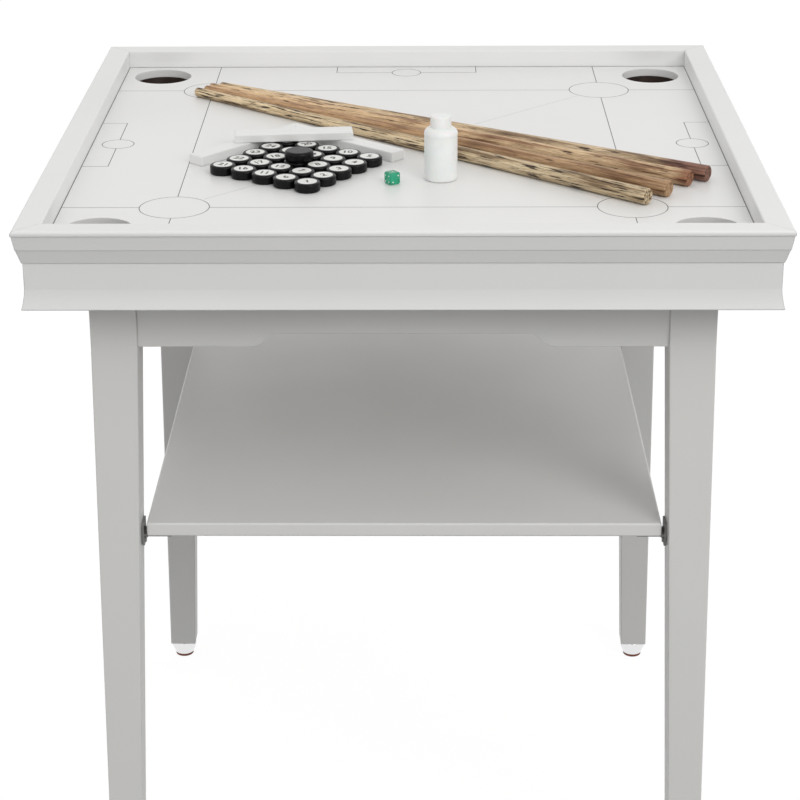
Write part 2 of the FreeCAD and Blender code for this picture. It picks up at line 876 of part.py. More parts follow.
def striker():
    """The larger plain disc, standing on the middle counter."""
    places = counter_places()
    middle = places[len(places) // 2]
    disc = Part.makeCylinder(striker_radius, striker_height)
    rims = circles(disc, striker_radius, 0) + circles(disc, striker_radius, striker_height)
    disc = disc.makeFillet(striker_round, rims)
    disc.translate(middle + Vector(striker_aside, 0, counter_height))
    return disc


def placed(shape, place, degrees):
    """The shape turned about its own upright axis and moved to a place."""
    shape.rotate(Vector(0, 0, 0), Vector(0, 0, 1), degrees)
    shape.translate(place)
    return shape


def rack_corner():
    """The rack's inner corner on the board, off the last counter of the grid."""
    return counter_places()[-1] + in_plan(rack_gap_degrees) * (counter_radius + rack_gap)


def rack_arm(points):
    """One arm of the square-cornered rack. Its outline starts on the mitre, at the inner corner."""
    arm = prism(points, rack_arm_height)
    soft = []
    for edge in arm.Edges:
        off_mitre = [abs(vertex.X + vertex.Y) > running_clearance for vertex in edge.Vertexes]
        if any(off_mitre):
            soft.append(edge)
    arm = arm.makeFillet(rack_round, soft)
    return placed(arm, rack_corner(), rack_degrees)


def rack_arms():
    """The two arms of the rack, glued at their mitre: the one to the left, then the one to the right."""
    corner = Vector(-rack_arm_width, rack_arm_width, 0)
    left = [Vector(0, 0, 0), Vector(0, -rack_arm_length, 0),
            Vector(-rack_arm_width, -rack_arm_length, 0), corner]
    right = [Vector(0, 0, 0), Vector(rack_arm_length, 0, 0),
             Vector(rack_arm_length, rack_arm_width, 0), corner]
    return rack_arm(left), rack_arm(right)


def rack_bar():
    """The straight bar that lies across both arms of the rack, with a shallow groove along its top."""
    half = rack_bar_length / 2
    bar = box((-half, -rack_bar_width / 2, 0), (half, rack_bar_width / 2, rack_bar_height))
    bar = bar.makeFillet(rack_round, bar.Edges)
    axis_level = rack_bar_height - rack_bar_groove_depth + rack_bar_groove_radius
    start = Vector(-half - overrun, 0, axis_level)
    groove_length = rack_bar_length + 2 * overrun
    bar = bar.cut(Part.makeCylinder(rack_bar_groove_radius, groove_length, start, Vector(1, 0, 0)))
    place = rack_corner() + Vector(0, -rack_bar_forward, rack_arm_height)
    return placed(bar, place, rack_bar_degrees)


def die():
    """The die: a rounded cube with sunk pips, opposite sides adding up to seven."""
    half = die_width / 2
    cube = box((-half, -half, -half), (half, half, half))
    cube = cube.makeFillet(die_round, cube.Edges)
    near, far = -die_pip_pitch, die_pip_pitch
    two = [(near, near), (far, far)]
    four = two + [(near, far), (far, near)]
    six = four + [(near, 0), (far, 0)]
    faces = [(Vector(0, 0, 1), [(0, 0)]), (Vector(0, -1, 0), two), (Vector(1, 0, 0), two + [(0, 0)]),
             (Vector(-1, 0, 0), four), (Vector(0, 1, 0), four + [(0, 0)]), (Vector(0, 0, -1), six)]
    sink = half - die_pip_depth + die_pip_radius
    pips = []
    for normal, places in faces:
        rotation = FreeCAD.Rotation(Vector(0, 0, 1), normal)
        for x, y in places:
            centre = rotation.multVec(Vector(x, y, sink))
            pips.append(Part.makeSphere(die_pip_radius, centre))
    cube = cube.cut(pips)
    return placed(cube, on_board(-die_leftward, die_forward) + Vector(0, 0, half), die_degrees)


def bottle_outline(inset):
    """Half the section of the bottle up to its shoulder, drawn in by a wall, as edges from the axis."""
    radius = bottle_radius - inset
    top_radius = bottle_cap_radius - inset
    shoulder = bottle_shoulder_height
    neck = bottle_neck_base - inset
    corner = bottle_base_round * (1 - math.sqrt(0.5))
    rise = neck - shoulder

    def at(reach, level):
        return Vector(reach, 0, level)

    bulge = at((radius + top_radius) / 2 + rise / 4, shoulder + rise * 2 / 3)
    return [line(at(0, inset), at(radius - bottle_base_round, inset)),
            arc(at(radius - bottle_base_round, inset), at(radius - corner, inset + corner),
                at(radius, inset + bottle_base_round)),
            line(at(radius, inset + bottle_base_round), at(radius, shoulder)),
            arc(at(radius, shoulder), bulge, at(top_radius, neck))]


def revolved(edges):
    """A closed solid turned about Z from edges that start and end on the axis."""
    first = edges[0].Vertexes[0].Point
    last = edges[-1].Vertexes[-1].Point
    top = Vector(0, 0, last.z)
    outline = Part.Wire(edges + [line(last, top), line(top, first)])
    return Part.Face(outline).revolve(Vector(0, 0, 0), Vector(0, 0, 1), 360)


def bottle():
    """The bottle: a thin shell with a round shoulder and a short open neck."""
    neck_start = Vector(0, 0, bottle_neck_base)
    neck = Part.makeCylinder(bottle_neck_radius, bottle_height - bottle_neck_base, neck_start)
    bore_radius = bottle_neck_radius - bottle_wall
    bore_start = Vector(0, 0, bottle_shoulder_height)
    bore = Part.makeCylinder(bore_radius, bottle_height - bottle_shoulder_height + overrun, bore_start)
    outside = revolved(bottle_outline(0)).fuse(neck).removeSplitter()
    shell = outside.cut([revolved(bottle_outline(bottle_wall)), bore])
    shell.translate(on_board(bottle_rightward, bottle_forward))
    return shell


def powder():
    """The powder that fills the bottle up to its shoulder."""
    fill = revolved(bottle_outline(bottle_wall))
    reach = 2 * bottle_radius
    level = bottle_shoulder_height - powder_room
    fill = fill.cut(box((-reach, -reach, level), (reach, reach, bottle_height)))
    fill.translate(on_board(bottle_rightward, bottle_forward))
    return fill


def bottle_cap():
    """The cap over the bottle's neck."""
    top = bottle_neck_base + bottle_cap_height
    cap = Part.makeCylinder(bottle_cap_radius, bottle_cap_height, Vector(0, 0, bottle_neck_base))
    cap = cap.makeFillet(bottle_cap_round, circles(cap, bottle_cap_radius, top))
    bore = Part.makeCylinder(bottle_neck_radius + running_clearance, bottle_cap_height - bottle_cap_wall,
                             Vector(0, 0, bottle_neck_base))
    cap = cap.cut(bore)
    cap.translate(on_board(bottle_rightward, bottle_forward))
    return cap


side_names = ("front", "right", "back", "left")
corner_names = ("back_right", "back_left", "front_left", "front_right")

nodes = {}


def add_sides(name, shape):
    """A node for each side of the table, from the piece at the front."""
    for side, turned in zip(side_names, four_times(shape)):
        nodes[name + "_" + side] = [turned]


def add_corners(name, shape):
    """A node for each corner of the table, from the piece at the +X +Y corner."""
    for corner, turned in zip(corner_names, four_times(shape)):
        nodes[name + "_" + corner] = [turned]


def add_everywhere(name, shapes):
    """One node that holds the same small pieces at all four sides or corners."""
    nodes[name] = [turned for shape in shapes for turned in four_times(shape)]


def add_mirrored(name, shapes):
    """One node that holds the same small pieces at all four corners, mirrored about both axes."""
    corners = [(x, y) for x in (-1, 1) for y in (-1, 1)]
    nodes[name] = [mirrored(shape, x, y) for shape in shapes for x, y in corners]


def leg_at(side_x, side_y):
    """The leg of one corner, mirrored so that its bracket's holes face the shelf."""
    return mirrored(corner_leg(), side_x, side_y)


# The tray.
add_sides("rail", front_rail())
nodes["playing_board"] = [playing_board()]
add_everywhere("glue_blocks", [glue_block()])
add_sides("batten", front_batten())
nodes["stiffeners"] = [stiffener(-1), stiffener(1)]
for corner_name, pocket_place in zip(corner_names, pocket_places()):
    nodes["pocket_cup_" + corner_name] = [pocket_cup(pocket_place)]
nodes["pocket_cup_screws"] = [made for place in pocket_places() for made in cup_screws(place, cup_screw)]

# The base.
corner_sides = ((1, 1), (-1, 1), (-1, -1), (1, -1))
for corner_name, sides in zip(corner_names, corner_sides):
    nodes["leg_" + corner_name] = [leg_at(*sides)]
add_sides("apron", front_apron())
add_corners("corner_brace", corner_brace())
add_everywhere("corner_brace_screws", brace_screws())
add_everywhere("leg_bolts", [hanger_bolt()])
add_everywhere("leg_bolt_washers", [hanger_washer()])
add_everywhere("leg_bolt_nuts", [hanger_nut()])
add_everywhere("tray_plates", tray_plates())
add_everywhere("tray_plate_screws", plate_screws())
nodes["shelf"] = [shelf()]
add_mirrored("shelf_brackets", [corner_bracket()])
add_mirrored("shelf_bracket_screws", bracket_screws())

# The feet.
nodes["foot_sockets"] = [foot_socket(place) for place in corner_places()]
for corner_name, foot_place in zip(corner_names, corner_places()):
    nodes["foot_" + corner_name] = [levelling_foot(foot_place)]
    nodes["foot_pad_" + corner_name] = [foot_pad(foot_place)]

# The playing set.
for cue_number, cue_line in enumerate(cue_lines(), start=1):
    nodes["cue_%d" % cue_number] = [cue(*cue_line)]
nodes["counters"] = [counter(place) for place in counter_places()]
nodes["counter_labels"] = [counter_label(place) for place in counter_places()]
nodes["striker"] = [striker()]
left_arm, right_arm = rack_arms()
nodes["rack_arm_left"] = [left_arm]
nodes["rack_arm_right"] = [right_arm]
nodes["rack_bar"] = [rack_bar()]
nodes["die"] = [die()]
nodes["powder_bottle"] = [bottle()]
nodes["powder"] = [powder()]
nodes["powder_bottle_cap"] = [bottle_cap()]

os.makedirs("parts", exist_ok=True)
for node_name, shapes in nodes.items():
    whole = shapes[0] if len(shapes) == 1 else Part.makeCompound(shapes)
    if not whole.isValid() or len(whole.Solids) != len(shapes):
        raise ValueError("node %s has %d solids of %d, valid %s"
                         % (node_name, len(whole.Solids), len(shapes), whole.isValid()))
    whole.exportStep("parts/" + node_name + ".step")
print(len(nodes), "nodes,", sum(len(shapes) for shapes in nodes.values()), "solids")
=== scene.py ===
"""The looks of a square game table and of the playing set that lies on it."""

import math

import bpy
import numpy as np
from mathutils import Matrix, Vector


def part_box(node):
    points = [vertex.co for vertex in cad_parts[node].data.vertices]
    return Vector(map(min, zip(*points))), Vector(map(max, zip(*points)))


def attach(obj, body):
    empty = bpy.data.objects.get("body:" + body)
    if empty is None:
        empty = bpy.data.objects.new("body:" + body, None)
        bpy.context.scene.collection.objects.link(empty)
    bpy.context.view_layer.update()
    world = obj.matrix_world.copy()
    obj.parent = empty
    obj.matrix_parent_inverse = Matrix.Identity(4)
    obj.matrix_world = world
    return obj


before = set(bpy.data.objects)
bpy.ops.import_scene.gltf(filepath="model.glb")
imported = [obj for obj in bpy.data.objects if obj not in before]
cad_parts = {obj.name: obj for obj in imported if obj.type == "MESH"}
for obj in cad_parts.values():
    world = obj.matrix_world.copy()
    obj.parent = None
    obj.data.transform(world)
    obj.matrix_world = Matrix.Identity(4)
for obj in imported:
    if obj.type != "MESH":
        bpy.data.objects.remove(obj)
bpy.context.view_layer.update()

# The four moulded rails round the tray are wood under sprayed white lacquer, satin, mitred and
# glued at the corners. Their mitres show as hair lines.

white = (0.800, 0.802, 0.798)
edge_softening = 0.0009
mitre_half_width = 0.00022


def start_material(name):
    """A new material: its node tree holds only its output and its principled shader."""
    material = bpy.data.materials.new(name)
    material.use_nodes = True
    tree = material.node_tree
    tree.nodes.clear()
    output = tree.nodes.new("ShaderNodeOutputMaterial")
    shader = tree.nodes.new("ShaderNodeBsdfPrincipled")
    tree.links.new(shader.outputs["BSDF"], output.inputs["Surface"])
    return material, tree, shader


def feed(tree, socket, value):
    """Links a socket to another, or sets it to a constant."""
    if isinstance(value, bpy.types.NodeSocket):
        tree.links.new(value, socket)
    elif isinstance(value, tuple) and len(value) == 3 and socket.type == "RGBA":
        socket.default_value = (*value, 1.0)
    else:
        socket.default_value = value


def put(tree, kind, settings=None, **inputs):
    """A node of a kind, with its settings and its inputs, each a constant or a link."""
    node = tree.nodes.new("ShaderNode" + kind)
    for key, value in (settings or {}).items():
        setattr(node, key, value)
    for key, value in inputs.items():
        feed(tree, node.inputs[key.replace("_", " ")], value)
    return node


def sums(tree, operation, *values):
    """The result of a Math node on one, two or three values."""
    node = tree.nodes.new("ShaderNodeMath")
    node.operation = operation
    for socket, value in zip(node.inputs, values):
        feed(tree, socket, value)
    return node.outputs[0]


def grades(tree, factor, *stops):
    """A colour that changes with a factor, from (place, colour) stops."""
    ramp = put(tree, "ValToRGB", Fac=factor)
    points = ramp.color_ramp.elements
    while len(points) < len(stops):
        points.new(1.0)
    for point, (place, colour) in zip(points, stops):
        point.position = place
        point.color = (*colour, 1.0)
    return ramp.outputs["Color"]


def shade(colour, share):
    """A colour made darker or lighter by a share."""
    return tuple(channel * share for channel in colour)


def speckle(tree, place, scale, detail=3.0, rough=0.55):
    """Noise about a point: about one patch in 1/scale metres."""
    noise = put(tree, "TexNoise", Vector=place, Scale=scale, Detail=detail, Roughness=rough)
    return noise.outputs["Fac"]


def roughen(tree, shader, factor, smooth, rough):
    """Roughness that runs from smooth to rough with a factor."""
    ramp = put(tree, "MapRange", Value=factor, To_Min=smooth, To_Max=rough)
    tree.links.new(ramp.outputs["Result"], shader.inputs["Roughness"])


def emboss(tree, shader, strength, depth, height, **inputs):
    """A fine relief from a height."""
    bump = put(tree, "Bump", Strength=strength, Distance=depth, Height=height, **inputs)
    tree.links.new(bump.outputs["Normal"], shader.inputs["Normal"])


def white_finish(name, colour, coarse=620.0, gloss=0.40, mitred=False):
    """White lacquer or laminate: faint cloudiness, fine orange peel, softened and slightly dulled edges."""
    material, tree, shader = start_material(name)
    place = put(tree, "TexCoord").outputs["Object"]
    cloud = speckle(tree, place, 5.0, 2.0)
    paint = grades(tree, cloud, (0.30, shade(colour, 0.972)), (0.70, colour))
    peel = speckle(tree, place, coarse, 2.0)
    soft = put(tree, "Bevel", {"samples": 4}, Radius=edge_softening)
    flat = put(tree, "NewGeometry").outputs["Normal"]
    turn = put(tree, "VectorMath", {"operation": "DOT_PRODUCT"}).outputs["Value"]
    tree.links.new(soft.outputs["Normal"], turn.node.inputs[0])
    tree.links.new(flat, turn.node.inputs[1])
    edge = sums(tree, "SUBTRACT", 1.0, turn)
    rub = sums(tree, "MULTIPLY", edge, speckle(tree, place, 90.0, 4.0))
    worn = put(tree, "MixRGB", Fac=sums(tree, "MINIMUM", sums(tree, "MULTIPLY", rub, 0.9), 0.5),
               Color1=paint, Color2=shade(colour, 0.80)).outputs["Color"]
    if mitred:
        parts = put(tree, "SeparateXYZ", Vector=place)
        across = sums(tree, "SUBTRACT", sums(tree, "ABSOLUTE", parts.outputs["X"]),
                      sums(tree, "ABSOLUTE", parts.outputs["Y"]))
        joint = sums(tree, "LESS_THAN", sums(tree, "ABSOLUTE", across), mitre_half_width)
        worn = put(tree, "MixRGB", Fac=sums(tree, "MULTIPLY", joint, 0.45),
                   Color1=worn, Color2=shade(colour, 0.35)).outputs["Color"]
    tree.links.new(worn, shader.inputs["Base Color"])
    smear = speckle(tree, place, 14.0, 4.0)
    roughen(tree, shader, smear, gloss - 0.05, gloss + 0.09)
    emboss(tree, shader, 0.10, 0.00012, peel, Normal=soft.outputs["Normal"])
    shader.inputs["IOR"].default_value = 1.46
    return material


def dress(material, *names):
    """Gives CAD nodes a material in place of the plain one that they came with."""
    for name in names:
        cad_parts[name].data.materials.clear()
        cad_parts[name].data.materials.append(material)


sides = ("front", "right", "back", "left")
corners = ("back_right", "back_left", "front_left", "front_right")
dress(white_finish("rail_lacquer", white, mitred=True), *["rail_" + side for side in sides])

# The playing board is white laminate on a thin wood board, held in grooves of the rails. Its field
# is drawn in thin grey-black lines, printed under the laminate: base lines, rings and goal boxes.

board_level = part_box("playing_board")[1].z
tray_reach = -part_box("rail_left")[1].x
print_height = 0.00005
line_width = 0.0008
joint_width = 0.0009
base_line = 0.2325
ring_radius = 0.0356
goal_line = 0.319
goal_half = 0.0865
goal_ring_radius = 0.0177
arrow_start = 0.205
arrow_end = 0.080
arrow_width_share = 0.6

dress(white_finish("board_laminate", (0.815, 0.815, 0.805), coarse=900.0, gloss=0.34), "playing_board")


def mesh_piece(name, vertices, faces, material, smooth=False):
    """A mesh object at the origin, from arrays of points and of faces."""
    mesh = bpy.data.meshes.new(name)
    mesh.from_pydata(np.asarray(vertices, float).tolist(), [], np.asarray(faces, int).tolist())
    mesh.polygons.foreach_set("use_smooth", np.full(len(mesh.polygons), smooth))
    mesh.materials.append(material)
    mesh.update()
    piece = bpy.data.objects.new(name, mesh)
    bpy.context.scene.collection.objects.link(piece)
    return piece


def strip(points, width, closed=False):
    """A flat strip along points in plan: each point moved half the width to both sides of the path."""
    points = np.asarray(points, float)
    run = np.roll(points, -1, 0) - np.roll(points, 1, 0) if closed else np.gradient(points, axis=0)
    run /= np.linalg.norm(run, axis=1, keepdims=True)
    across = np.stack([-run[:, 1], run[:, 0]], 1) * width / 2
    both = np.concatenate([points - across, points + across])
    count = len(points)
    here = np.arange(count if closed else count - 1)
    after = (here + 1) % count
    faces = np.stack([here, after, after + count, here + count], 1)
    return np.column_stack([both, np.full(len(both), board_level + print_height)]), faces


def joined(parts):
    """Several (points, faces) as one pair."""
    counts = np.cumsum([0] + [len(points) for points, _ in parts])
    points = np.concatenate([points for points, _ in parts])
    faces = np.concatenate([faces + start for (_, faces), start in zip(parts, counts)])
    return points, faces


def circle(centre, radius, count=64):
    """Points round a circle."""
    angle = np.linspace(0, 2 * np.pi, count, endpoint=False)
    return np.stack([centre[0] + radius * np.cos(angle), centre[1] + radius * np.sin(angle)], 1)


def quarter_turns(points):
    """The same points at all four sides of the board."""
    turned = [np.asarray(points, float)]
    for _ in range(3):
        turned.append(turned[-1] @ np.array([[0.0, 1.0], [-1.0, 0.0]]))
    return turned


def field_lines():
    """All lines of the field: for one side, then turned to the other three."""
    open_runs = [
        [(-base_line + ring_radius, -base_line), (base_line - ring_radius, -base_line)],
        [(-base_line - ring_radius, -base_line), (-tray_reach, -base_line)],
        [(-base_line, -base_line - ring_radius), (-base_line, -tray_reach)],
        [(-goal_half, -tray_reach), (-goal_half, -goal_line)],
        [(goal_half, -goal_line), (goal_half, -tray_reach)],
        [(-goal_half, -goal_line), (-goal_ring_radius, -goal_line)],
        [(goal_ring_radius, -goal_line), (goal_half, -goal_line)],
    ]
    rings = [circle((-base_line, -base_line), ring_radius), circle((0, -goal_line), goal_ring_radius, 40)]
    parts = [strip(turned, line_width) for run in open_runs for turned in quarter_turns(run)]
    parts += [strip(turned, line_width, True) for ring in rings for turned in quarter_turns(ring)]
    return joined(parts)


def arrow_lines():
    """The thin slanting lines from the corner rings towards the middle."""
    run = [(-arrow_start, -arrow_start), (-arrow_end, -arrow_end)]
    return joined([strip(turned, line_width * arrow_width_share) for turned in quarter_turns(run)])


def joint_line():
    """Painted shade for the fine gap where the board goes into the rails' grooves: a dark strip in a square
    just inside them.
    """
    near = tray_reach - joint_width / 2
    side = np.linspace((-near, -near), (near, -near), 40, endpoint=False)
    return strip(np.concatenate(quarter_turns(side)), joint_width, True)


def print_ink(name, colour):
    """Printed ink, slightly uneven in depth. The same material also makes the painted shade of the board's
    joint.
    """
    material, tree, shader = start_material(name)
    place = put(tree, "TexCoord").outputs["Object"]
    depth = speckle(tree, place, 300.0, 4.0)
    uneven = grades(tree, depth, (0.35, colour), (0.75, shade(colour, 1.7)))
    tree.links.new(uneven, shader.inputs["Base Color"])
    shader.inputs["Roughness"].default_value = 0.45
    return material


field = mesh_piece("field_lines", *field_lines(), print_ink("line_ink", (0.035, 0.035, 0.037)))
arrows = mesh_piece("arrow_lines", *arrow_lines(), print_ink("arrow_ink", (0.30, 0.30, 0.30)))
# The joint strip is painted shade: a dark strip that stands for the shade in the gap at the rails.
joint = mesh_piece("board_joint_shade", *joint_line(), print_ink("joint_shadow", (0.10, 0.10, 0.098)))
for piece in (field, arrows, joint):
    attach(piece, "table")

# The pocket cups are moulded in dark brown plastic, fine-grained, and screwed up under the board.
# The counters drop into them through the pockets.


def brown_plastic():
    """Dark brown plastic with a moulded grain and paler scuffs."""
    material, tree, shader = start_material("brown_plastic")
    place = put(tree, "TexCoord").outputs["Object"]
    scuffs = speckle(tree, place, 60.0, 5.0)
    colour = grades(tree, scuffs, (0.40, (0.020, 0.010, 0.007)), (0.80, (0.045, 0.022, 0.014)))
    tree.links.new(colour, shader.inputs["Base Color"])
    roughen(tree, shader, scuffs, 0.35, 0.60)
    emboss(tree, shader, 0.25, 0.0002, speckle(tree, place, 1500.0, 2.0))
    return material


dress(brown_plastic(), *["pocket_cup_" + corner for corner in corners])

# The battens, stiffeners, glue blocks and corner braces are bare sawn pine, hidden under the tray.
# The grain of each runs along its length.


def darken(tree, share, colour, by):
    """A colour multiplied by another, to a share."""
    mix = put(tree, "MixRGB", {"blend_type": "MULTIPLY"}, Fac=share, Color1=colour, Color2=by)
    return mix.outputs["Color"]


def bare_pine(name, turn, stretch=(3.0, 60.0, 60.0)):
    """Pale pine: bands of late wood from a wave drawn out along the grain, and fine fibres."""
    material, tree, shader = start_material(name)
    place = put(tree, "TexCoord").outputs["Object"]
    along = put(tree, "Mapping", {"vector_type": "TEXTURE"}, Vector=place, Rotation=(0.0, 0.0, turn))
    drawn = put(tree, "Mapping", Vector=along.outputs["Vector"], Scale=stretch).outputs["Vector"]
    waver = speckle(tree, drawn, 1.0, 3.0)
    bands = put(tree, "TexWave", {"bands_direction": "Y"}, Vector=drawn, Scale=0.55, Distortion=3.5,
                Detail=2.0, Detail_Scale=1.2).outputs["Fac"]
    ground = grades(tree, bands, (0.15, (0.66, 0.50, 0.31)), (0.55, (0.60, 0.42, 0.24)),
                    (0.95, (0.43, 0.26, 0.13)))
    fibre = speckle(tree, put(tree, "Mapping", Vector=along.outputs["Vector"],
                              Scale=(20.0, 900.0, 900.0)).outputs["Vector"], 1.0, 2.0)
    lined = grades(tree, fibre, (0.30, (0.72, 0.70, 0.68)), (0.60, (1.0, 1.0, 1.0)))
    clouded = grades(tree, waver, (0.30, (0.78, 0.74, 0.70)), (0.70, (1.0, 1.0, 1.0)))
    tone = darken(tree, 0.35, darken(tree, 0.55, ground, lined), clouded)
    tree.links.new(tone, shader.inputs["Base Color"])
    shader.inputs["Roughness"].default_value = 0.72
    emboss(tree, shader, 0.35, 0.0003, fibre)
    return material


dress(bare_pine("pine_crosswise", 0.0), "batten_front", "batten_back")
dress(bare_pine("pine_lengthwise", math.pi / 2), "batten_left", "batten_right", "stiffeners")
dress(bare_pine("pine_slanting", -math.pi / 4), "corner_brace_back_right", "corner_brace_front_left")
dress(bare_pine("pine_slanting_back", math.pi / 4), "corner_brace_back_left", "corner_brace_front_right",
      "glue_blocks")

# The four legs and the aprons between them are wood under white lacquer, drawn a shade greyer than
# the rails, and bolted together at the corners. The legs taper below the aprons.

leg_lacquer = white_finish("leg_lacquer", (0.745, 0.742, 0.730), gloss=0.42)
dress(leg_lacquer, *["leg_" + corner for corner in corners], *["apron_" + side for side in sides])

# The shelf is white laminate on board with softened edges, fixed to the legs by four grey painted
# steel brackets under its ends.


def grey_steel():
    """Mid-grey paint on steel, a little uneven, with darker spots."""
    material, tree, shader = start_material("grey_steel")
    place = put(tree, "TexCoord").outputs["Object"]
    spots = speckle(tree, place, 220.0, 5.0)
    colour = grades(tree, spots, (0.30, (0.17, 0.17, 0.168)), (0.60, (0.27, 0.27, 0.266)))
    tree.links.new(colour, shader.inputs["Base Color"])
    roughen(tree, shader, spots, 0.32, 0.55)
    return material


dress(white_finish("shelf_laminate", (0.775, 0.772, 0.765), coarse=800.0, gloss=0.38), "shelf")
dress(grey_steel(), "shelf_brackets", "shelf_bracket_screws")

# Bolts, nuts, washers, plates, sockets and small screws are zinc-plated steel.


def zinc_plate():
    """Zinc plating: pale grey metal with a fine crystal mottle."""
    material, tree, shader = start_material("zinc_plate")
    place = put(tree, "TexCoord").outputs["Object"]
    crystals = put(tree, "TexVoronoi", Vector=place, Scale=420.0).outputs["Color"]
    tone = put(tree, "RGBToBW", Color=crystals).outputs["Val"]
    colour = grades(tree, tone, (0.20, (0.50, 0.50, 0.49)), (0.80, (0.68, 0.68, 0.66)))
    tree.links.new(colour, shader.inputs["Base Color"])
    shader.inputs["Metallic"].default_value = 1.0
    roughen(tree, shader, tone, 0.26, 0.42)
    return material


dress(zinc_plate(), "pocket_cup_screws", "corner_brace_screws", "leg_bolts", "leg_bolt_washers",
      "leg_bolt_nuts", "tray_plates", "tray_plate_screws", "foot_sockets")

# Each levelling foot is a turned, chrome-plated cap with a threaded stud, on a soft pad of
# brownish red rubber that spares the floor.


def chrome():
    """Polished chrome with faint turning marks round the upright axis."""
    material, tree, shader = start_material("chrome")
    place = put(tree, "TexCoord").outputs["Object"]
    round_axis = put(tree, "Mapping", Vector=place, Scale=(60.0, 60.0, 2600.0)).outputs["Vector"]
    marks = speckle(tree, round_axis, 1.0, 2.0)
    shader.inputs["Base Color"].default_value = (0.80, 0.80, 0.81, 1.0)
    shader.inputs["Metallic"].default_value = 1.0
    roughen(tree, shader, marks, 0.05, 0.14)
    emboss(tree, shader, 0.08, 0.00005, marks)
    return material


def pad_rubber():
    """Brownish red rubber, matt and mottled."""
    material, tree, shader = start_material("pad_rubber")
    place = put(tree, "TexCoord").outputs["Object"]
    mottle = speckle(tree, place, 350.0, 5.0)
    colour = grades(tree, mottle, (0.35, (0.22, 0.07, 0.045)), (0.75, (0.34, 0.14, 0.10)))
    tree.links.new(colour, shader.inputs["Base Color"])
    shader.inputs["Roughness"].default_value = 0.85
    emboss(tree, shader, 0.3, 0.0002, mottle)
    return material


dress(chrome(), *["foot_" + corner for corner in corners])
dress(pad_rubber(), *["foot_pad_" + corner for corner in corners])

# The four cues are turned from streaky hardwood, oiled, each in a tone of its own, from pale ash to
# one that darkens to walnut at its butt. They lie fanned out on the board.


def cue_line(name):
    """The middle of a cue at its tip, and the direction of its axis in plan, from its mesh."""
    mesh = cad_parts[name].data
    flat = np.empty(len(mesh.vertices) * 3)
    mesh.vertices.foreach_get("co", flat)
    points = flat.reshape(-1, 3)
    middle = points.mean(0)
    axis = np.linalg.svd(points - middle, full_matrices=False)[2][0]
    axis *= np.sign(axis[0])
    tip = middle + axis * ((points - middle) @ axis).min()
    return tip, math.atan2(axis[1], axis[0])


def cue_wood(name, node, pale, middle, dark, fleck, flecks, butt=None, butt_start=0.0):
    """Streaky oiled wood, drawn out along the cue from its tip.

    Broad bands run from dark to pale. Fibres darken them, and short flecks of the pores cross them: the
    share flecks says how much of the noise counts as a fleck. The colour is drawn darker towards the
    butt, whose last stretch may have a colour of its own.
    """
    material, tree, shader = start_material(name)
    tip, turn = cue_line(node)
    place = put(tree, "TexCoord").outputs["Object"]
    along = put(tree, "Mapping", {"vector_type": "TEXTURE"}, Vector=place, Location=tuple(tip),
                Rotation=(0.0, 0.0, turn)).outputs["Vector"]

    def drawn(lengthwise, crosswise, shift=0.0):
        return put(tree, "Mapping", Vector=along, Location=(shift, shift, shift),
                   Scale=(lengthwise, crosswise, crosswise)).outputs["Vector"]

    broad = speckle(tree, drawn(9.0, 150.0), 1.0, 3.0)
    fibre = speckle(tree, drawn(26.0, 520.0, 4.0), 1.0, 4.0, 0.65)
    pores = speckle(tree, drawn(34.0, 480.0, 9.0), 1.0, 3.0)
    grit = speckle(tree, drawn(160.0, 1500.0, 2.0), 1.0, 2.0)
    ground = grades(tree, broad, (0.36, dark), (0.45, middle), (0.56, pale), (0.66, middle))
    lined = darken(tree, 0.85, ground, grades(tree, fibre, (0.38, (0.50, 0.43, 0.37)),
                                              (0.50, (0.93, 0.91, 0.88)), (0.62, (1.14, 1.12, 1.08))))
    marks = grades(tree, pores, (flecks - 0.015, (0.0, 0.0, 0.0)), (flecks + 0.075, (1.0, 1.0, 1.0)))
    wood = put(tree, "MixRGB", Fac=marks, Color1=lined, Color2=fleck).outputs["Color"]
    gritty = grades(tree, grit, (0.35, (0.66, 0.62, 0.58)), (0.60, (1.05, 1.05, 1.04)))
    wood = darken(tree, 0.5, wood, gritty)
    run = put(tree, "SeparateXYZ", Vector=along).outputs["X"]
    fade = grades(tree, sums(tree, "MULTIPLY", run, 1.5),
                  (0.25, (1.0, 1.0, 1.0)), (0.85, (0.76, 0.76, 0.77)))
    wood = darken(tree, 1.0, wood, fade)
    if butt:
        uneven = sums(tree, "ADD", run, sums(tree, "MULTIPLY_ADD", fibre, 0.05, -0.025))
        far = put(tree, "MapRange", {"interpolation_type": "SMOOTHSTEP"}, Value=uneven, From_Min=butt_start,
                  From_Max=butt_start + 0.02).outputs["Result"]
        wood = darken(tree, far, wood, butt)
    tree.links.new(wood, shader.inputs["Base Color"])
    roughen(tree, shader, fibre, 0.42, 0.62)
    shader.inputs["Specular IOR Level"].default_value = 0.35
    emboss(tree, shader, 0.45, 0.0003, fibre)
    return material


dress(cue_wood("pale_ash", "cue_1", (0.88, 0.73, 0.50), (0.68, 0.53, 0.33), (0.28, 0.185, 0.10),
               (0.036, 0.020, 0.011), 0.555), "cue_1")
dress(cue_wood("tan_ash", "cue_2", (0.64, 0.42, 0.24), (0.52, 0.32, 0.17), (0.30, 0.16, 0.077),
               (0.14, 0.068, 0.036), 0.640), "cue_2")
dress(cue_wood("brown_ash", "cue_3", (0.92, 0.70, 0.44), (0.76, 0.53, 0.315), (0.36, 0.20, 0.11),
               (0.10, 0.045, 0.025), 0.600, butt=(0.50, 0.31, 0.27), butt_start=0.640), "cue_3")
dress(cue_wood("walnut", "cue_4", (0.88, 0.71, 0.49), (0.68, 0.52, 0.33), (0.30, 0.205, 0.128),
               (0.060, 0.033, 0.022), 0.585, butt=(0.45, 0.29, 0.31), butt_start=0.600), "cue_4")

# The counters are turned from black plastic, each with a white plastic label let into its top and a
# plain number on it. The striker is a larger plain disc of the same plastic.


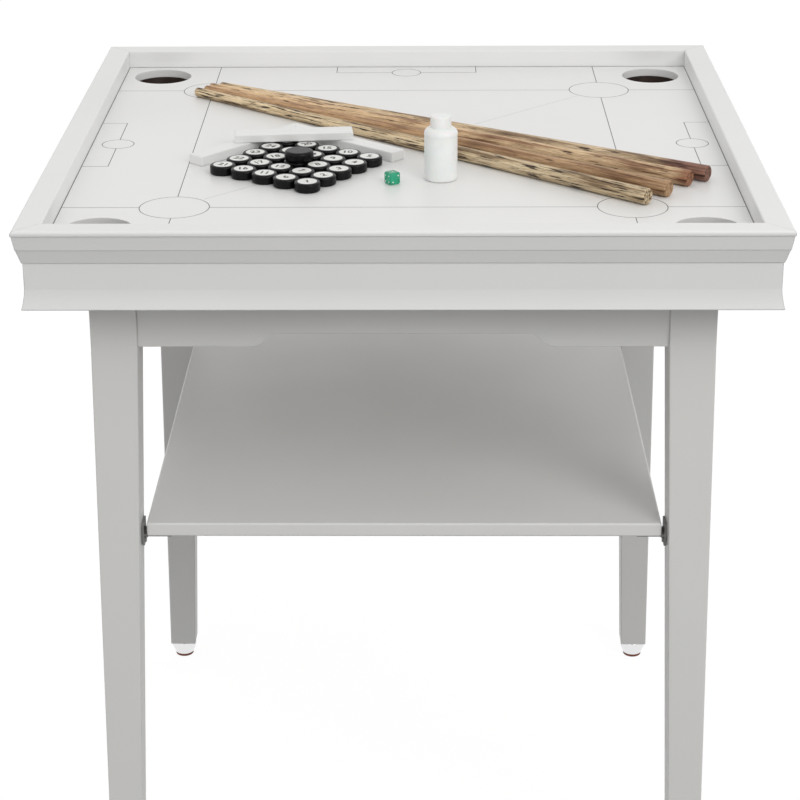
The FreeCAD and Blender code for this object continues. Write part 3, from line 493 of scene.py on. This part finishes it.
def black_plastic():
    """Black plastic, satin to glossy, faintly mottled."""
    material, tree, shader = start_material("black_plastic")
    place = put(tree, "TexCoord").outputs["Object"]
    mottle = speckle(tree, place, 500.0, 6.0)
    colour = grades(tree, mottle, (0.45, (0.0035, 0.0033, 0.0035)), (0.85, (0.012, 0.011, 0.012)))
    tree.links.new(colour, shader.inputs["Base Color"])
    roughen(tree, shader, mottle, 0.20, 0.38)
    shader.inputs["Specular IOR Level"].default_value = 0.16
    emboss(tree, shader, 0.12, 0.0001, mottle)
    return material


def label_plastic():
    """Off-white plastic, faintly mottled."""
    material, tree, shader = start_material("label_plastic")
    place = put(tree, "TexCoord").outputs["Object"]
    mottle = speckle(tree, place, 240.0, 4.0)
    colour = grades(tree, mottle, (0.35, (0.72, 0.72, 0.70)), (0.65, (0.83, 0.83, 0.81)))
    tree.links.new(colour, shader.inputs["Base Color"])
    shader.inputs["Roughness"].default_value = 0.42
    return material


def island_centres(name, count):
    """The centres of a node's separate solids, whose vertices come in equal runs, and their top."""
    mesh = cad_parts[name].data
    flat = np.empty(len(mesh.vertices) * 3)
    mesh.vertices.foreach_get("co", flat)
    runs = flat.reshape(count, -1, 3)
    return (runs.min(1) + runs.max(1)) / 2, runs[:, :, 2].max()


counter_count = 25
number_height = 0.0115
number_stroke = 0.00028
number_tilt = 0.6
number_seed = 7


def counter_numbers(count, height, stroke):
    """The numbers as one flat mesh: each is set in type with thickened strokes, turned a little, and moved
    onto its label."""
    centres, top = island_centres("counter_labels", count)
    turns = np.random.default_rng(number_seed).uniform(-number_tilt, number_tilt, count)
    parts = []
    for number, (centre, turn) in enumerate(zip(centres, turns), start=1):
        text = bpy.data.curves.new("number", "FONT")
        text.body = str(number)
        text.size = height
        text.align_x = "CENTER"
        text.align_y = "CENTER"
        text.resolution_u = 3
        text.offset = stroke
        setting = bpy.data.objects.new("number", text)
        flat = bpy.data.meshes.new_from_object(setting)
        points = np.empty(len(flat.vertices) * 3)
        flat.vertices.foreach_get("co", points)
        points = points.reshape(-1, 3)[:, :2]
        points -= (points.min(0) + points.max(0)) / 2
        swing = np.array([[math.cos(turn), math.sin(turn)], [-math.sin(turn), math.cos(turn)]])
        placed = np.column_stack([points @ swing + centre[:2], np.full(len(points), top + print_height)])
        flat.calc_loop_triangles()
        corners_of = np.empty(len(flat.loop_triangles) * 3, int)
        flat.loop_triangles.foreach_get("vertices", corners_of)
        parts.append((placed, corners_of.reshape(-1, 3)))
        bpy.data.objects.remove(setting)
        bpy.data.meshes.remove(flat)
    return joined(parts)


dress(black_plastic(), "counters", "striker")
dress(label_plastic(), "counter_labels")
numbers = mesh_piece("counter_numbers", *counter_numbers(counter_count, number_height, number_stroke),
                     print_ink("number_ink", (0.012, 0.012, 0.012)))
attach(numbers, "counters")

# The rack is two arms of white lacquered wood mitred to a square corner, with a straight bar of the
# same finish lying across them.

dress(white_finish("rack_lacquer", (0.81, 0.81, 0.80), gloss=0.38),
      "rack_arm_left", "rack_arm_right", "rack_bar")

# The die is cast in clear green plastic with rounded corners. Its pips are sunk and painted white.


def green_plastic():
    """Clear green plastic with a slight haze."""
    material, tree, shader = start_material("green_plastic")
    place = put(tree, "TexCoord").outputs["Object"]
    haze = speckle(tree, place, 400.0, 4.0)
    colour = grades(tree, haze, (0.35, (0.012, 0.44, 0.24)), (0.70, (0.035, 0.58, 0.34)))
    tree.links.new(colour, shader.inputs["Base Color"])
    roughen(tree, shader, haze, 0.06, 0.16)
    shader.inputs["Transmission Weight"].default_value = 0.55
    shader.inputs["IOR"].default_value = 1.49
    return material


dress(green_plastic(), "die")

pip_depth = 0.00045
pip_radius = 0.00115
pip_pitch = 0.0032
pip_paint_reach = 0.94
pip_turns = 16
pip_rings = 4
pip_inner_share = 0.25
die_turn = math.radians(35.0)


def pip_dots():
    """The painted dots: in each pip a shallow dish, whose height is r squared over twice the pip's radius.

    The dish is a grid of turns and radii. It is made about the top, then swung to each side of the die.
    """
    die_low, die_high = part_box("die")
    middle = np.array([(low + high) / 2 for low, high in zip(die_low, die_high)])
    half = (die_high.z - die_low.z) / 2
    reach = math.sqrt(2 * pip_radius * pip_depth - pip_depth ** 2) * pip_paint_reach
    turns, radii = np.meshgrid(np.linspace(0, 2 * np.pi, pip_turns, endpoint=False),
                               np.linspace(pip_inner_share, 1.0, pip_rings) * reach)
    rise = radii ** 2 / (2 * pip_radius) + half - pip_depth + print_height
    dish = np.stack([radii * np.cos(turns), radii * np.sin(turns), rise], -1).reshape(-1, 3)
    dish = np.concatenate([dish, [[0.0, 0.0, half - pip_depth + print_height]]])
    here = np.arange(pip_turns)
    after = (here + 1) % pip_turns
    starts = pip_turns * np.arange(pip_rings - 1)
    rings = [np.stack([here, here + pip_turns, after + pip_turns, after], 1) + start for start in starts]
    quads = np.concatenate(rings)
    hub = np.full(pip_turns, pip_turns * pip_rings)
    faces = np.concatenate([quads[:, :3], quads[:, [0, 2, 3]], np.stack([hub, here, after], 1)])
    near, far = -pip_pitch, pip_pitch
    two = [(near, near), (far, far)]
    four = two + [(near, far), (far, near)]
    six = four + [(near, 0.0), (far, 0.0)]
    sides_of = [((1, 0, 0), (0, 1, 0), [(0.0, 0.0)]), ((1, 0, 0), (0, 0, 1), two),
                ((0, 0, -1), (0, 1, 0), two + [(0.0, 0.0)]), ((0, 0, 1), (0, 1, 0), four),
                ((1, 0, 0), (0, 0, -1), four + [(0.0, 0.0)]), ((1, 0, 0), (0, -1, 0), six)]
    swing = np.array([[math.cos(die_turn), math.sin(die_turn), 0.0],
                      [-math.sin(die_turn), math.cos(die_turn), 0.0], [0.0, 0.0, 1.0]])
    parts = []
    for first, second, places in sides_of:
        axes = np.array([first, second, np.cross(first, second)], float)
        for across, along in places:
            dot = (dish + (across, along, 0.0)) @ axes
            parts.append((dot @ swing + middle, faces))
    return joined(parts)


def pip_paint():
    """White paint in the pips, a little uneven."""
    material, tree, shader = start_material("pip_paint")
    place = put(tree, "TexCoord").outputs["Object"]
    cover = speckle(tree, place, 1200.0, 3.0)
    colour = grades(tree, cover, (0.30, (0.62, 0.66, 0.63)), (0.60, (0.84, 0.85, 0.84)))
    tree.links.new(colour, shader.inputs["Base Color"])
    shader.inputs["Roughness"].default_value = 0.5
    return material


pips = mesh_piece("die_pips", *pip_dots(), pip_paint(), smooth=True)
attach(pips, "die")

# The bottle is blow-moulded in white plastic and holds powder that makes the board slippery. Its
# cap is moulded in the same white.


def white_plastic(name, colour):
    """White plastic that lets a little light through, faintly uneven."""
    material, tree, shader = start_material(name)
    place = put(tree, "TexCoord").outputs["Object"]
    cloud = speckle(tree, place, 70.0, 3.0)
    tone = grades(tree, cloud, (0.35, shade(colour, 0.96)), (0.65, colour))
    tree.links.new(tone, shader.inputs["Base Color"])
    roughen(tree, shader, cloud, 0.30, 0.44)
    shader.inputs["Subsurface Weight"].default_value = 0.15
    shader.inputs["Subsurface Scale"].default_value = 0.004
    emboss(tree, shader, 0.1, 0.0002, speckle(tree, place, 500.0, 2.0))
    return material


dress(white_plastic("bottle_plastic", (0.84, 0.84, 0.83)), "powder_bottle")
dress(white_plastic("cap_plastic", (0.86, 0.86, 0.85)), "powder_bottle_cap")
dress(white_plastic("powder_grain", (0.88, 0.88, 0.86)), "powder")

# The room: a plain pale floor under plain soft light. The world and the floor are white to the eye
# and to mirrors, and greyer to everything that they light.


def seen_directly(tree):
    """1 for rays from the eye or off mirrors and through glass, else 0."""
    path = put(tree, "LightPath")
    mirrors = sums(tree, "ADD", path.outputs["Is Glossy Ray"], path.outputs["Is Transmission Ray"])
    return sums(tree, "MINIMUM", sums(tree, "ADD", path.outputs["Is Camera Ray"], mirrors), 1.0)


def pale_floor():
    """A matt floor that looks nearly white and throws back less light than that."""
    material, tree, shader = start_material("floor_paint")
    place = put(tree, "TexCoord").outputs["Object"]
    cloud = speckle(tree, place, 1.5, 2.0)
    tone = grades(tree, cloud, (0.3, (0.125, 0.125, 0.123)), (0.7, (0.14, 0.14, 0.138)))
    tree.links.new(tone, shader.inputs["Base Color"])
    shader.inputs["Roughness"].default_value = 0.9
    shader.inputs["Specular IOR Level"].default_value = 0.0
    shine = put(tree, "Emission", Color=(1.0, 1.0, 1.0), Strength=0.91)
    glow = put(tree, "AddShader")
    tree.links.new(shader.outputs["BSDF"], glow.inputs[0])
    tree.links.new(shine.outputs["Emission"], glow.inputs[1])
    both = put(tree, "MixShader", Fac=seen_directly(tree))
    tree.links.new(shader.outputs["BSDF"], both.inputs[1])
    tree.links.new(glow.outputs["Shader"], both.inputs[2])
    tree.links.new(both.outputs["Shader"], tree.nodes["Material Output"].inputs["Surface"])
    return material


room_reach = 9.0
floor = mesh_piece("floor", [(-room_reach, -room_reach, 0), (room_reach, -room_reach, 0),
                             (room_reach, room_reach, 0), (-room_reach, room_reach, 0)],
                   [(0, 1, 2, 3)], pale_floor())

world = bpy.data.worlds.new("soft_room")
world.use_nodes = True
bpy.context.scene.world = world
sky = world.node_tree
sky.nodes.clear()
dim = put(sky, "Background", Color=(1.0, 0.993, 0.985), Strength=0.80)
bright = put(sky, "Background", Color=(1.0, 1.0, 1.0), Strength=1.0)
both = put(sky, "MixShader", Fac=seen_directly(sky))
sky.links.new(dim.outputs["Background"], both.inputs[1])
sky.links.new(bright.outputs["Background"], both.inputs[2])
sky.links.new(both.outputs["Shader"], put(sky, "OutputWorld").inputs["Surface"])


def soft_light(name, place, target, width, height, power):
    """A rectangular softbox aimed at a point."""
    lamp = bpy.data.lights.new(name, "AREA")
    lamp.shape = "RECTANGLE"
    lamp.size = width
    lamp.size_y = height
    lamp.energy = power
    lamp.color = (1.0, 0.995, 0.985)
    holder = bpy.data.objects.new(name, lamp)
    bpy.context.scene.collection.objects.link(holder)
    away = np.array(place, float) - np.array(target, float)
    away /= np.linalg.norm(away)
    side = np.cross((0.0, 1.0, 0.0), away)
    side /= np.linalg.norm(side)
    upward = np.cross(away, side)
    holder.matrix_world = Matrix(np.column_stack([side, upward, away, place]).tolist()).to_4x4()


soft_light("softbox_front", (1.7, -2.6, 2.6), (0.0, 0.0, 0.75), 2.0, 1.4, 35.0)
soft_light("softbox_low", (-1.6, -3.2, 0.9), (0.0, 0.0, 0.55), 1.6, 1.2, 6.5)

# The camera stands where the photographer stood: in front, above the board, looking down, with a
# long lens. The photograph is cut square off centre, which the shift repeats.

image_side = 800.0
focal_pixels = 2239.85
principal_pixel = (387.9, 340.0)
sensor_width = 36.0
eye = (0.0183, -2.4014, 1.4984)
pitch_down = math.radians(21.025)
yaw_right = math.radians(-0.914)
roll = math.radians(-0.361)

camera = bpy.data.cameras.new("camera")
camera.sensor_width = sensor_width
camera.lens = focal_pixels * sensor_width / image_side
camera.shift_x = (image_side / 2 - principal_pixel[0]) / image_side
camera.shift_y = (principal_pixel[1] - image_side / 2) / image_side
camera.clip_start = 0.05
camera.clip_end = 60.0
ahead = np.array([math.sin(yaw_right) * math.cos(pitch_down), math.cos(yaw_right) * math.cos(pitch_down),
                  -math.sin(pitch_down)])
rightward = np.array([math.cos(yaw_right), -math.sin(yaw_right), 0.0])
overhead = np.cross(rightward, ahead)
rolled_right = math.cos(roll) * rightward + math.sin(roll) * overhead
rolled_up = -math.sin(roll) * rightward + math.cos(roll) * overhead
stand = bpy.data.objects.new("camera", camera)
bpy.context.scene.collection.objects.link(stand)
stand.matrix_world = Matrix(np.column_stack([rolled_right, rolled_up, -ahead, eye]).tolist()).to_4x4()
bpy.context.scene.camera = stand
bpy.context.scene.view_settings.view_transform = "Standard"
